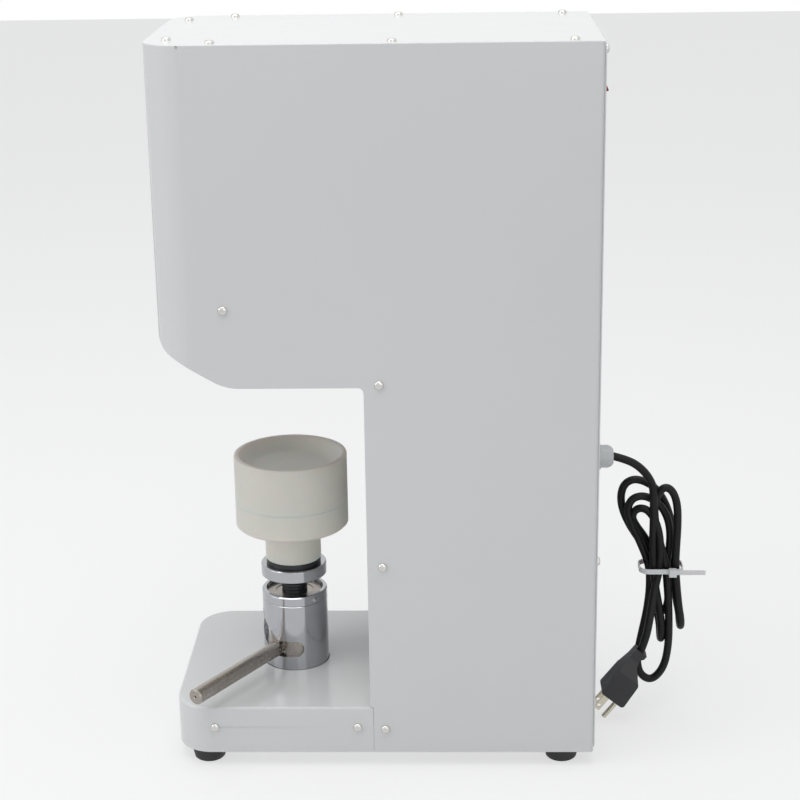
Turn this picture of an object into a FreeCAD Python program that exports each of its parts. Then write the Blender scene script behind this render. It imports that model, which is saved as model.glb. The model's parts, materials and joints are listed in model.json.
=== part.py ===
"""Bench-top can seamer: a white sheet-steel C-shaped machine that rolls the lid onto a drink can.

A can stands on the nylon tray.  The lever turns the piston of the chrome pedestal along a helical
slot, which lifts the can against the spinning chuck inside the open-bottomed head.  A rocking
eccentric then swings the first-operation and second-operation rollers against the lid in turn.

Frame: +Z up, the front of the machine faces -Y, origin at the bottom centre of the machine's
bounding box without its power cord.  All lengths are millimetres.
"""
import FreeCAD, Part
import math
import os
from FreeCAD import Vector as V

os.makedirs("parts", exist_ok=True)

# ---------------------------------------------------------------- driving dimensions
# casing
case_width = 215.0
case_length = 380.0
case_height = 640.0
sheet = 1.5
corner_radius = 33.0
bend_radius = 3.0
foot_height = 14.0
base_height = 45.0
column_length = 201.7
head_underside = 347.7
chamfer_front = 383.0
chamfer_length = 59.6
chamfer_front_radius = 24.0
chamfer_back_radius = 45.0
throat_radius = 5.0
flange_width = 18.0
back_sheet = 1.2
seam_step = 2.9
fit_gap = 0.2

# feet and screws
foot_top_radius = 17.0
foot_bottom_radius = 14.0
foot_inset_x = 20.5
foot_inset_y = 28.0
screw_radius = 2.0
screw_head_radius = 4.0
screw_head_height = 2.6
screw_length = 9.0
side_screw_back = 13.4
head_screw_back = 60.3
head_screw_rise = 69.4
underside_screw_rise = 2.5
middle_screw_height = 181.8
low_screw_height = 23.0
base_screw_height = 25.0
base_screw_front = 36.5
base_screw_rear = 11.8
top_edge_inset = 11.0
top_front_x = 72.0
top_front_inset = 19.0
top_row_inset = 58.0
top_row_rear_inset = 24.0
back_edge_inset = 10.0
back_top_drop = 7.5
back_low_height = 183.0
back_middle_x = 40.0
back_foot_height = 16.0
relief_radius = 1.0
vent_low = 90.0
vent_high_drop = 220.0
vent_pitch = 12.0
vent_rows = 6
vent_x = 48.0
vent_half_length = 18.0
vent_half_height = 2.0
bolt_radius = 2.5
bolt_bite = 15.0
floor_bolt_radius = 3.0

# frame inside the casing
chassis_thickness = 6.0
chassis_lift = 1.0
rim_thickness = 3.0
rim_height = 38.0
upright_thickness = 8.0
channel_depth = 17.7
arm_drop = 65.0
arm_inset = 35.0
head_plate_rise = 72.0
head_plate_thickness = 12.0
window_margin = 39.0
window_bar = 35.0
window_front_margin = 34.0
window_back_margin = 40.0
window_count = 3
rear_rim_height = 20.0
rear_rim_half = 60.0
rear_rim_thickness = 4.7
floor_slot_half = 30.0
floor_slot_pitch = 10.0
floor_slot_count = 5
floor_slot_start = 4.0

# can axis and pedestal
axis_y = -86.6
sleeve_radius = 30.75
piston_radius = 26.3
running_gap = 0.1
sleeve_top = 109.2
collar_height = 9.2
spigot_radius = 28.6
spigot_height = 6.8
sleeve_floor = 5.0
sleeve_flange_radius = 48.0
sleeve_flange_thickness = 10.0
piston_drop = 4.0
slot_width = 16.0
slot_height = 66.0
slot_dwell = 35.5
helix_angle = 64.0
lift_travel = 26.6
top_dwell = 12.0
slot_ease = 0.135

# lever
lever_angle = -32.0
lever_radius = 7.3
lever_reach = 152.0
shank_radius = 6.0
shank_inner = 8.0
lever_chamfer = 1.2

# tray stack above the piston
nut_radius = 18.0
nut_height = 32.0
washer_thickness = 3.0
rod_radius = 12.0
rod_flange_radius = 25.5
rod_flange_thickness = 4.4
journal_radius = 8.0
journal_height = 32.0
ring_height = 12.0
ring_radius = 30.75
ring_bottom = 132.4
bearing_radius = 19.5
bearing_height = 9.0
stem_radius = 26.0
stem_height = 33.4
tray_radius = 52.4
disc_height = 25.1
cup_height = 44.7
dish_rim = 5.0
dish_depth = 12.0
dish_floor_radius = 34.0
tray_edge = 2.0

# seaming head
chuck_rise = 50.3
chuck_plug_radius = 24.6
chuck_lip_radius = 26.0
chuck_hub_radius = 18.0
spindle_radius = 10.0
housing_radius = 31.0
housing_flange_radius = 48.0
housing_flange_thickness = 10.0
housing_drop = 42.0
housing_rise = 24.0
ball_bearing_radius = 23.5
ball_bearing_width = 14.0
pulley_gap = 1.5
pulley_width = 23.0
belt_width = 15.0
belt_thickness = 3.0
driven_groove_radius = 38.0
drive_groove_radius = 20.0
pulley_rim = 3.0
motor_y = 110.0
motor_radius = 55.0
motor_height = 140.0
motor_shaft_radius = 7.0
roller_radius = 20.0
roller_width = 17.0
roller_rest_gap = 5.0
arm_thickness = 12.0
pivot_x = 58.0
pivot_back = 52.0
pivot_radius = 7.0
roller_pin_radius = 5.0
cam_pin_x = 28.0
cam_pin_back = 45.0
cam_pin_radius = 7.0
cam_throw = 6.4
cam_swing = 35.0
cam_gap = 0.4
cam_shaft_radius = 6.0
gearmotor_radius = 18.5
gearmotor_height = 60.0

# electrics
switch_x = 40.0
switch_drop = 41.0
switch_width = 22.0
switch_length = 30.0
switch_bezel = 2.0
rocker_tilt = 10.0
trunnion_radius = 1.8
button_drop = 120.0
button_radius = 10.0
button_bezel_radius = 14.5
button_bezel = 2.5
button_proud = 4.0
button_travel = 2.5
gland_height = 246.8
gland_hex = 24.0
gland_hex_length = 9.0
gland_dome_radius = 10.6
gland_dome_length = 11.6
gland_thread_radius = 9.0
cord_radius = 3.75
box_half_width = 60.0
box_front_gap = 71.7
box_length = 105.0
box_height = 110.0
box_lid = 6.0
box_lid_overhang = 2.0

# ---------------------------------------------------------------- derived places
floor_to_case = foot_height
case_top = floor_to_case + case_height
half_width = case_width / 2
front = -case_length / 2
back = case_length / 2
column_front = back - column_length
underside = floor_to_case + head_underside
base_top = floor_to_case + base_height
chassis_top = floor_to_case + chassis_lift + chassis_thickness
upright_front = column_front + channel_depth
arm_front = front + arm_inset
chuck_low = underside + chuck_rise
head_plate_bottom = chuck_low + head_plate_rise
head_plate_top = head_plate_bottom + head_plate_thickness
inner_half = half_width - sheet - fit_gap
gland_z = floor_to_case + gland_height
switch_z = case_top - switch_drop
rocker_y = back + back_sheet - 1.0
button_z = case_top - button_drop
can_axis = V(0, axis_y, 0)
UP = V(0, 0, 1)


# ---------------------------------------------------------------- helpers
def block(x0, x1, y0, y1, z0, z1):
    return Part.makeBox(x1 - x0, y1 - y0, z1 - z0, V(x0, y0, z0))


def rod(radius, start, end):
    direction = end - start
    return Part.makeCylinder(radius, direction.Length, start, direction)


def post(radius, x, y, z0, z1):
    return Part.makeCylinder(radius, z1 - z0, V(x, y, z0), UP)


def join(shapes):
    result = shapes[0]
    for shape in shapes[1:]:
        result = result.fuse(shape)
    return result.removeSplitter()


def cut(shape, tools):
    for tool in tools:
        shape = shape.cut(tool)
    return shape


def rounded_wire(corners, place):
    """Closed wire through corners (u, v, radius), with each corner rounded by its radius."""
    edges = []
    count = len(corners)
    flat = [V(u, v, 0) for u, v, _ in corners]
    starts = []
    ends = []
    mids = []
    for i in range(count):
        here = flat[i]
        radius = corners[i][2]
        to_last = (flat[i - 1] - here).normalize()
        to_next = (flat[(i + 1) % count] - here).normalize()
        if radius <= 0:
            starts.append(here)
            ends.append(here)
            mids.append(None)
            continue
        half = to_last.getAngle(to_next) / 2
        reach = radius / math.tan(half)
        middle = (to_last + to_next).normalize()
        starts.append(here + to_last * reach)
        ends.append(here + to_next * reach)
        mids.append(here + middle * (radius / math.sin(half) - radius))
    for i in range(count):
        if mids[i] is not None:
            edges.append(Part.Arc(place(starts[i]), place(mids[i]), place(ends[i])).toShape())
        next_start = starts[(i + 1) % count]
        if (next_start - ends[i]).Length > 1e-6:
            edges.append(Part.makeLine(place(ends[i]), place(next_start)))
    return Part.Wire(edges)


def plan_prism(corners, z0, z1):
    face = Part.Face(rounded_wire(corners, lambda p: V(p.x, p.y, z0)))
    return face.extrude(V(0, 0, z1 - z0))


def side_prism(corners, x0, x1):
    face = Part.Face(rounded_wire(corners, lambda p: V(x0, p.x, p.y)))
    return face.extrude(V(x1 - x0, 0, 0))


def plan_body(inset, y_end, z0, z1):
    """Rectangle with two rounded front corners, as the casing and the base are in plan."""
    side = half_width - inset
    radius = corner_radius - inset
    corners = [(-side, front + inset, radius), (side, front + inset, radius), (side, y_end, 0),
               (-side, y_end, 0)]
    return plan_prism(corners, z0, z1)


def turned(profile, centre):
    """Solid of revolution about the vertical through centre, from (radius, height) points."""
    points = [V(centre.x + r, centre.y, z) for r, z in profile]
    face = Part.Face(Part.makePolygon(points + [points[0]]))
    return face.revolve(V(centre.x, centre.y, 0), UP, 360)


def pan_screw(seat, outward):
    """Pan-head screw: seat is the point under the head, outward the way the head faces."""
    r = screw_head_radius
    h = screw_head_height
    screw = turned([(0, -screw_length), (screw_radius, -screw_length), (screw_radius, 0), (r, 0),
                    (r, h * 0.38), (r * 0.88, h * 0.72), (r * 0.6, h * 0.94), (0, h)], V(0, 0, 0))
    screw.Placement = FreeCAD.Placement(seat, FreeCAD.Rotation(UP, outward))
    return screw


def screw_holes(seats, outward, depth=20.0):
    holes = []
    for seat in seats:
        holes.append(rod(screw_radius + 0.1, seat + outward, seat - outward * depth))
    return holes


def screw_group(seats, outward):
    return Part.makeCompound([pan_screw(seat, outward) for seat in seats])


def build_side_screws():
    solids = []
    for sign in (-1, 1):
        for y, z in side_seats + base_seats:
            solids.append(pan_screw(V(sign * half_width, y, z), V(sign, 0, 0)))
    return Part.makeCompound(solids)


def cap_screw(x, y, z_seat, radius, length, down=True):
    """Socket-head screw standing on z_seat, its shank going down (or up)."""
    sign = -1 if down else 1
    head = rod(radius * 1.6, V(x, y, z_seat), V(x, y, z_seat - sign * radius * 1.8))
    socket = rod(radius * 0.8, V(x, y, z_seat - sign * radius * 0.9),
                 V(x, y, z_seat - sign * radius * 2.5))
    shank = rod(radius, V(x, y, z_seat), V(x, y, z_seat + sign * length))
    return head.cut(socket).fuse(shank)


parts = {}

# ---------------------------------------------------------------- screw places
side_y = column_front + side_screw_back
side_seats = [(front + head_screw_back, underside + head_screw_rise),
              (side_y, underside + underside_screw_rise),
              (side_y, floor_to_case + middle_screw_height), (side_y, floor_to_case + low_screw_height)]
base_seats = [(front + base_screw_front, floor_to_case + base_screw_height),
              (column_front - base_screw_rear, floor_to_case + base_screw_height)]
top_seats = [(-top_front_x, front + top_front_inset), (top_front_x, front + top_front_inset)]
top_row = [front + top_row_inset, (front + top_row_inset + back - top_row_rear_inset) / 2,
           back - top_row_rear_inset]
for y in top_row:
    top_seats += [(top_edge_inset - half_width, y), (half_width - top_edge_inset, y)]
back_seats = []
for sign in (-1, 1):
    back_seats += [(sign * (half_width - back_edge_inset), case_top - back_top_drop),
                   (sign * (half_width - back_edge_inset), floor_to_case + back_low_height),
                   (sign * back_middle_x, case_top - back_top_drop),
                   (sign * back_middle_x, floor_to_case + back_foot_height)]


# ---------------------------------------------------------------- casing
def case_profile(inset):
    """Side outline of head and column, shrunk inwards by inset at front, chamfer and underside."""
    slope = V(chamfer_length, head_underside - chamfer_front, 0).normalize()
    normal = V(-slope.y, slope.x, 0)
    low = underside + inset
    top = case_top - sheet - inset
    start_z = floor_to_case + chamfer_front + inset * (1 - normal.x) / normal.y
    start = V(front + inset, start_z, 0)
    run = (low - start.y) / slope.y
    knee = start.x + slope.x * run
    return [(front + inset, top, 0), (front + inset, start_z, chamfer_front_radius - inset),
            (knee, low, chamfer_back_radius + inset)]


def build_case_shell():
    seam_y = column_front + seam_step
    bottom_step = base_top + fit_gap
    outer_side = case_profile(0) + [
        (column_front, underside, throat_radius), (column_front, bottom_step, 0), (seam_y, bottom_step, 0),
        (seam_y, floor_to_case, 0), (back, floor_to_case, 0), (back, case_top - sheet, 0)]
    outer = side_prism(outer_side, -half_width, half_width)
    outline = plan_body(0, back, 0, case_top)
    rear_edges = [e for e in outline.Edges if abs(e.BoundBox.XLength) < 1e-6 and e.BoundBox.ZLength > 100
                  and e.BoundBox.YMin > back - 1]
    outline = outline.makeFillet(bend_radius, rear_edges)
    outer = outer.common(outline)
    inner_side = case_profile(sheet) + [
        (back - sheet, underside + sheet, 0), (back - sheet, case_top - 2 * sheet, 0)]
    inner_head = side_prism(inner_side, -half_width, half_width)
    inner_head = inner_head.common(plan_body(sheet, back - sheet, 0, case_top))
    side = half_width - sheet
    inner_column = block(-side, side, column_front - throat_radius * 2, back - sheet, 0,
                         underside + sheet + 1)
    keep = block(-side, side, front, column_front, underside - 1, underside + sheet)
    inner_column = inner_column.cut(keep)
    open_x = half_width - flange_width
    top_opening = plan_prism([(-open_x, front + flange_width, 20), (open_x, front + flange_width, 20),
                              (open_x, back - flange_width, 0), (-open_x, back - flange_width, 0)],
                             case_top - 20, case_top + 1)
    back_opening = block(-open_x, open_x, back - 10, back + 1, 0, case_top - flange_width)
    under_front = front + chamfer_length + flange_width
    mouth = block(-open_x, open_x, under_front, column_front + 5, underside - 5, underside + 10)
    shell = cut(outer, [inner_head, inner_column, top_opening, back_opening, mouth])
    for sign in (-1, 1):
        seats = [V(sign * half_width, y, z) for y, z in side_seats]
        shell = cut(shell, screw_holes(seats, V(sign, 0, 0), 12))
    shell = cut(shell, screw_holes([V(x, y, case_top) for x, y in top_seats], UP, 12))
    shell = cut(shell, screw_holes([V(x, back, z) for x, z in back_seats], V(0, 1, 0), 12))
    button_hole = rod(button_radius + 1.2, V(0, front - 5, button_z), V(0, front + 5, button_z))
    return cut(shell, [button_hole] + bend_reliefs())


def bend_reliefs():
    """Small round reliefs where the top seam meets the rounded front corners."""
    x = half_width - relief_radius * 0.3
    y = front + corner_radius - relief_radius
    low = case_top - sheet * 2
    high = case_top - sheet / 3
    return [post(relief_radius, sign * x, y, low, high) for sign in (-1, 1)]


def build_top_cover():
    cover = plan_body(0, back, case_top - sheet, case_top)
    cover = cover.makeFillet(sheet * 0.7, [e for e in cover.Edges if e.BoundBox.ZMin > case_top - 0.01])
    cover = cut(cover, bend_reliefs())
    return cut(cover, screw_holes([V(x, y, case_top) for x, y in top_seats], UP, 12))


def build_back_panel():
    panel = block(-half_width + 2, half_width - 2, back, back + back_sheet, floor_to_case + 2, case_top - 2)
    corner_edges = [e for e in panel.Edges if abs(e.BoundBox.YLength - back_sheet) < 1e-6]
    panel = panel.makeFillet(6.0, corner_edges)
    gland_hole = rod(gland_thread_radius + 0.2, V(0, back - 5, gland_z), V(0, back + 5, gland_z))
    half_w = switch_width / 2 - 1.4
    half_l = switch_length / 2 - 1.4
    switch_hole = block(switch_x - half_w, switch_x + half_w, back - 5, back + 5,
                        switch_z - half_l, switch_z + half_l)
    vents = []
    for low in (floor_to_case + vent_low, case_top - vent_high_drop):
        for row in range(vent_rows):
            vents.append(level_slot(-vent_x, low + row * vent_pitch))
            vents.append(level_slot(vent_x, low + row * vent_pitch))
    panel = cut(panel, [gland_hole, switch_hole] + vents)
    return cut(panel, screw_holes([V(x, back + back_sheet, z) for x, z in back_seats], V(0, 1, 0), 12))


def level_slot(x, z):
    """Level ventilation slot in the back panel, with round ends."""
    x0 = x - vent_half_length
    x1 = x + vent_half_length
    r = vent_half_height
    bar = block(x0, x1, back - 5, back + 5, z - r, z + r)
    return join([bar, rod(r, V(x0, back - 5, z), V(x0, back + 5, z)),
                 rod(r, V(x1, back - 5, z), V(x1, back + 5, z))])


def build_column_front():
    """Channel that closes the front of the column, its flanges behind the side panels."""
    depth = upright_front - fit_gap
    face_y = column_front + 0.5
    low = chassis_top + fit_gap
    high = underside + 30.0
    outer = block(-inner_half, inner_half, face_y, depth, low, high)
    inner = block(-inner_half + sheet, inner_half - sheet, face_y + sheet, depth + 1, low - 1, high + 1)
    channel = outer.cut(inner)
    edges = [e for e in channel.Edges if e.BoundBox.ZLength > 100 and e.BoundBox.YMin < face_y + 0.1]
    channel = channel.makeFillet(1.2, edges)
    for sign in (-1, 1):
        seats = [V(sign * half_width, y, z) for y, z in side_seats[1:]]
        channel = cut(channel, screw_holes(seats, V(sign, 0, 0), 12))
    return channel


def build_base_cover():
    top_end = column_front - fit_gap
    side_end = column_front + seam_step - fit_gap
    outer = plan_body(0, side_end, floor_to_case, base_top)
    top_edges = [e for e in outer.Edges if e.BoundBox.ZMin > base_top - 0.01
                 and e.BoundBox.YMin < side_end - 1]
    outer = outer.makeFillet(2.5, top_edges)
    inner = plan_body(sheet, side_end + 1, floor_to_case - 1, base_top - sheet)
    lip = block(-half_width + sheet, half_width - sheet, top_end, side_end + 1, base_top - sheet - 1,
                base_top + 1)
    hole = post(sleeve_radius + 0.5, 0, axis_y, base_top - 10, base_top + 5)
    cover = cut(outer, [inner, lip, hole])
    for sign in (-1, 1):
        seats = [V(sign * half_width, y, z) for y, z in base_seats]
        cover = cut(cover, screw_holes(seats, V(sign, 0, 0), 12))
    return cover


# ---------------------------------------------------------------- frame
def build_chassis():
    low = floor_to_case + chassis_lift
    plate = plan_body(sheet + fit_gap, back - sheet - fit_gap, low, chassis_top)
    rim_end = column_front - 2.0
    rim = plan_body(sheet + fit_gap, rim_end, chassis_top, floor_to_case + rim_height)
    rim = rim.cut(plan_body(sheet + fit_gap + rim_thickness, rim_end + 1, chassis_top - 1, case_top))
    rear_rim = block(-rear_rim_half, rear_rim_half, back - fit_gap - rear_rim_thickness, back - fit_gap,
                     low + 1, chassis_top + rear_rim_height)
    chassis = join([plate, rim, rear_rim])
    seats = [V(x, back + back_sheet, z) for x, z in back_seats if z < chassis_top + rear_rim_height]
    chassis = cut(chassis, screw_holes(seats, V(0, 1, 0), 14))
    for row in range(floor_slot_count):
        y = column_front + floor_slot_start + row * floor_slot_pitch
        bar = block(-floor_slot_half, floor_slot_half, y - 2, y + 2, low - 1, chassis_top + 1)
        ends = [post(2.0, x, y, low - 1, chassis_top + 1) for x in (-floor_slot_half, floor_slot_half)]
        chassis = cut(chassis, [bar] + ends)
    for sign in (-1, 1):
        seats = [V(sign * half_width, y, z) for y, z in base_seats]
        chassis = cut(chassis, screw_holes(seats, V(sign, 0, 0), 14))
    for x, y in foot_places():
        chassis = chassis.cut(post(3.1, x, y, low - 1, chassis_top + 1))
    return cut(chassis, [post(3.1, x, y, low - 1, chassis_top + 1) for x, y in sleeve_bolt_places()])


def foot_places():
    x = half_width - foot_inset_x
    y = back - foot_inset_y
    return [(-x, -y), (x, -y), (-x, y), (x, y)]


def sleeve_bolt_places():
    circle = (sleeve_radius + sleeve_flange_radius) / 2
    places = []
    for i in range(4):
        angle = math.radians(45 + 90 * i)
        places.append((circle * math.cos(angle), axis_y + circle * math.sin(angle)))
    return places


def build_foot(x, y):
    top = floor_to_case + chassis_lift
    profile = [(0, 2.0), (6.5, 2.0), (6.5, 0), (foot_bottom_radius - 1.5, 0), (foot_bottom_radius, 1.5),
               (foot_top_radius - 0.6, top - 3.0), (foot_top_radius, top - 1.2), (foot_top_radius, top),
               (0, top)]
    body = turned(profile, V(x, y, 0))
    pocket = post(6.5, x, y, -1, 6.0)
    return cut(body, [pocket, post(3.1, x, y, 5, top + 1)])


def build_foot_screws():
    screws = []
    for x, y in foot_places():
        head = post(5.4, x, y, 2.4, 6.0)
        shank = post(3.0, x, y, 6.0, chassis_top + 2)
        screws.append(head.fuse(shank))
    return Part.makeCompound(screws)


def build_upright(sign):
    """Frame plate beside the column, with an arm that carries the head plate."""
    low = chassis_top
    rear = back - screw_length - 3.0
    arm_low = head_plate_bottom - arm_drop
    corners = [(upright_front, low, 0), (rear, low, 0), (rear, head_plate_bottom, 0),
               (arm_front, head_plate_bottom, 4), (arm_front, arm_low + 20, 8),
               (arm_front + 30, arm_low, 8),
               (upright_front, arm_low, 12)]
    x0 = inner_half - upright_thickness
    plate = side_prism(corners, x0, inner_half)
    y0 = upright_front + window_front_margin
    y1 = back - window_back_margin
    window_low = low + window_margin
    pitch = (arm_low - 4 + window_bar - window_low) / window_count
    for i in range(window_count):
        z0 = window_low + i * pitch
        z1 = z0 + pitch - window_bar
        window = side_prism([(y0, z0, 10), (y1, z0, 10), (y1, z1, 10), (y0, z1, 10)], x0 - 1, half_width)
        plate = plate.cut(window)
    y, z = side_seats[0]
    plate = cut(plate, screw_holes([V(half_width, y, z)], V(1, 0, 0), 14))
    for bolt_x, bolt_y in head_bolt_places():
        if bolt_x > 0:
            plate = plate.cut(post(bolt_radius + 0.1, bolt_x, bolt_y, head_plate_bottom - bolt_bite - 3,
                                   head_plate_bottom + 1))
    if sign < 0:
        plate = plate.mirror(V(0, 0, 0), V(1, 0, 0))
    return plate


def head_bolt_places():
    x = inner_half - upright_thickness / 2
    front_y = arm_front + 25.0
    rear_y = back - window_back_margin
    return [(sx * x, y) for y in (front_y, (front_y + rear_y) / 2, rear_y) for sx in (-1, 1)]


def build_head_plate():
    rear = back - sheet - 2.0
    half = inner_half
    plate = plan_prism([(-half, arm_front, 12), (half, arm_front, 12), (half, rear, 0), (-half, rear, 0)],
                       head_plate_bottom, head_plate_top)
    z0 = head_plate_bottom - 1
    z1 = head_plate_top + 1
    holes = [post(housing_radius + 0.1, 0, axis_y, z0, z1), post(12.0, 0, motor_y, z0, z1),
             post(cam_shaft_radius + 2, 0, cam_y, z0, z1)]
    for sign in (-1, 1):
        holes.append(post(pivot_radius + 0.05, sign * pivot_x, pivot_y, z0, z1))
    for x, y in head_bolt_places():
        holes.append(post(bolt_radius + 0.1, x, y, z0, z1))
    for x, y in housing_bolt_places():
        holes.append(post(bolt_radius + 0.1, x, y, z0, z1))
    return cut(plate, holes)


def housing_bolt_places():
    circle = (housing_radius + housing_flange_radius) / 2
    places = []
    for i in range(4):
        angle = math.radians(90 * i)
        places.append((circle * math.cos(angle), axis_y + circle * math.sin(angle)))
    return places


def build_frame_bolts():
    bolts = []
    for x, y in head_bolt_places():
        bolts.append(cap_screw(x, y, head_plate_top, bolt_radius, head_plate_thickness + bolt_bite))
    flange_top = head_plate_top + housing_flange_thickness
    for x, y in housing_bolt_places():
        bolts.append(cap_screw(x, y, flange_top, bolt_radius,
                               housing_flange_thickness + head_plate_thickness - 1))
    flange = chassis_top + sleeve_flange_thickness
    for x, y in sleeve_bolt_places():
        bolts.append(cap_screw(x, y, flange, floor_bolt_radius,
                               sleeve_flange_thickness + chassis_thickness - 1))
    return Part.makeCompound(bolts)


# ---------------------------------------------------------------- pedestal
sleeve_end = floor_to_case + sleeve_top
collar_top = sleeve_end + collar_height
bore_radius = piston_radius + running_gap
slot_z = floor_to_case + slot_height
piston_top = collar_top - piston_drop


def slot_cutter():
    """Bayonet slot: a level dwell, a helix that rises clockwise, and a short level top dwell.

    The two corners where the helix meets the dwells are eased, so the lever passes them freely.
    """
    half = slot_width / 2
    reach = sleeve_radius + 5
    mean_radius = sleeve_radius
    slope = math.atan2(lift_travel, math.radians(helix_angle) * mean_radius)
    tall = half / math.cos(slope)
    inner = shank_inner + 10

    def strip(half_height, angle):
        wire = Part.makePolygon([V(inner, 0, -half_height), V(reach, 0, -half_height),
                                 V(reach, 0, half_height),
                                 V(inner, 0, half_height), V(inner, 0, -half_height)])
        wire.rotate(V(0, 0, 0), UP, angle)
        return wire

    def end_hole(angle, z):
        turn = math.radians(angle)
        way = V(math.cos(turn), math.sin(turn), 0)
        return rod(half, can_axis + way * inner + UP * z, can_axis + way * reach + UP * z)

    pieces = []
    low = Part.Face(strip(half, lever_angle)).revolve(V(0, 0, 0), UP, slot_dwell)
    low.translate(can_axis + UP * slot_z)
    pieces.append(low)
    pitch = lift_travel * 360 / helix_angle
    spine = Part.makeHelix(pitch, lift_travel, mean_radius, 0, True)
    spine.rotate(V(0, 0, 0), UP, lever_angle)
    band = Part.Wire(spine.Edges).makePipeShell([strip(tall, lever_angle)], True, True)
    band.translate(can_axis + UP * slot_z)
    pieces.append(band)
    top_z = slot_z + lift_travel
    high = Part.Face(strip(half, lever_angle - helix_angle)).revolve(V(0, 0, 0), UP, -top_dwell)
    high.translate(can_axis + UP * top_z)
    pieces.append(high)
    pieces.append(end_hole(lever_angle + slot_dwell, slot_z))
    pieces.append(end_hole(lever_angle, slot_z))
    pieces.append(end_hole(lever_angle - helix_angle, top_z))
    pieces.append(end_hole(lever_angle - helix_angle - top_dwell, top_z))
    for share in (slot_ease, 1 - slot_ease):
        pieces.append(end_hole(lever_angle - helix_angle * share, slot_z + lift_travel * share))
    return pieces


def build_sleeve():
    flange_top = chassis_top + sleeve_flange_thickness
    profile = [(0, chassis_top), (sleeve_flange_radius, chassis_top), (sleeve_flange_radius, flange_top),
               (sleeve_radius, flange_top), (sleeve_radius, sleeve_end - 0.5),
               (sleeve_radius - 0.5, sleeve_end),
               (spigot_radius, sleeve_end), (spigot_radius, sleeve_end + spigot_height),
               (bore_radius, sleeve_end + spigot_height), (bore_radius, chassis_top + sleeve_floor),
               (0, chassis_top + sleeve_floor)]
    sleeve = turned(profile, can_axis)
    sleeve = cut(sleeve, slot_cutter())
    return cut(sleeve, [post(3.1, x, y, chassis_top - 1, flange_top + 1) for x, y in sleeve_bolt_places()])


set_screw_angle = 40.0
set_screw_radius = 2.0


def radial(angle, distance, z):
    turn = math.radians(angle)
    return V(distance * math.cos(turn), axis_y + distance * math.sin(turn), z)


def build_collar():
    low = sleeve_end
    seat = spigot_radius + 0.05
    profile = [(seat, low), (sleeve_radius - 0.5, low), (sleeve_radius, low + 0.5),
               (sleeve_radius, collar_top - 1.2), (sleeve_radius - 1.2, collar_top),
               (bore_radius + 0.4, collar_top), (bore_radius, collar_top - 0.4),
               (bore_radius, low + spigot_height + fit_gap), (seat, low + spigot_height + fit_gap)]
    collar = turned(profile, can_axis)
    z = low + spigot_height / 2 + 0.8
    hole = rod(set_screw_radius + 0.05, radial(set_screw_angle, spigot_radius - 1, z),
               radial(set_screw_angle, sleeve_radius + 3, z))
    return collar.cut(hole)


def build_set_screw():
    z = sleeve_end + spigot_height / 2 + 0.8
    body = rod(set_screw_radius, radial(set_screw_angle, spigot_radius + 0.02, z),
               radial(set_screw_angle, sleeve_radius - 0.5, z))
    socket = rod(set_screw_radius * 0.5, radial(set_screw_angle, spigot_radius + 1, z),
                 radial(set_screw_angle, sleeve_radius + 1, z))
    return body.cut(socket)


nut_seat = piston_top - nut_height - washer_thickness - 1.0


def build_piston():
    low = chassis_top + sleeve_floor + 1.0
    profile = [(0, low), (piston_radius - 1, low), (piston_radius, low + 1),
               (piston_radius, piston_top - 1),
               (piston_radius - 1, piston_top), (nut_radius, piston_top), (nut_radius, nut_seat),
               (0, nut_seat)]
    piston = turned(profile, can_axis)
    hole = rod(shank_radius, radial(lever_angle, shank_inner, slot_z),
               radial(lever_angle, piston_radius + 5, slot_z))
    return piston.cut(hole)


def build_lever():
    """Round steel bar with a turned-down shank, a chamfered tip and a centre-drilled end."""
    start = sleeve_radius + 0.9
    points = [(0, shank_inner + 0.5), (shank_radius - 0.05, shank_inner + 0.5),
              (shank_radius - 0.05, start),
              (lever_radius - 0.6, start), (lever_radius, start + 0.6),
              (lever_radius, lever_reach - lever_chamfer),
              (lever_radius - lever_chamfer, lever_reach), (1.6, lever_reach), (0.8, lever_reach - 1.2),
              (0.8, lever_reach - 3.0), (0, lever_reach - 3.4)]
    bar = turned(points, V(0, 0, 0))
    turn = math.radians(lever_angle)
    way = V(math.cos(turn), math.sin(turn), 0)
    bar.Placement = FreeCAD.Placement(can_axis + UP * slot_z, FreeCAD.Rotation(UP, way))
    return bar


# ---------------------------------------------------------------- tray stack
ring_low = floor_to_case + ring_bottom
ring_top = ring_low + ring_height
flange_low = ring_top + fit_gap
flange_high = flange_low + rod_flange_thickness
stem_low = flange_high + 0.3
disc_low = stem_low + stem_height
disc_high = disc_low + disc_height
tray_top = disc_high + cup_height
washer_top = nut_seat + fit_gap + washer_thickness


def build_thrust_washer():
    return post(nut_radius - 0.2, 0, axis_y, nut_seat + fit_gap, washer_top)


def build_lift_nut():
    nut = post(nut_radius - 0.08, 0, axis_y, washer_top, piston_top - 0.6)
    return nut.cut(post(rod_radius + 0.06, 0, axis_y, washer_top + 2, piston_top + 1))


def build_threaded_rod():
    groove = 0.5
    pitch = 3.0
    low = washer_top + 6
    profile = [(0, low), (rod_radius - 1, low), (rod_radius, low + 1)]
    z = piston_top + 1.5
    while z + pitch < ring_top:
        profile += [(rod_radius, z), (rod_radius - groove, z + pitch / 2), (rod_radius, z + pitch)]
        z += pitch
    profile += [(rod_radius, flange_low), (rod_flange_radius, flange_low), (rod_flange_radius, flange_high),
                (journal_radius, flange_high), (journal_radius, flange_high + journal_height - 1),
                (journal_radius - 1, flange_high + journal_height), (0, flange_high + journal_height)]
    return turned(profile, can_axis)


def build_lock_ring():
    inner = rod_radius + 0.06
    profile = [(inner, ring_low), (ring_radius - 1, ring_low), (ring_radius, ring_low + 1),
               (ring_radius, ring_top - 1), (ring_radius - 1, ring_top), (inner, ring_top)]
    return turned(profile, can_axis)


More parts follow.
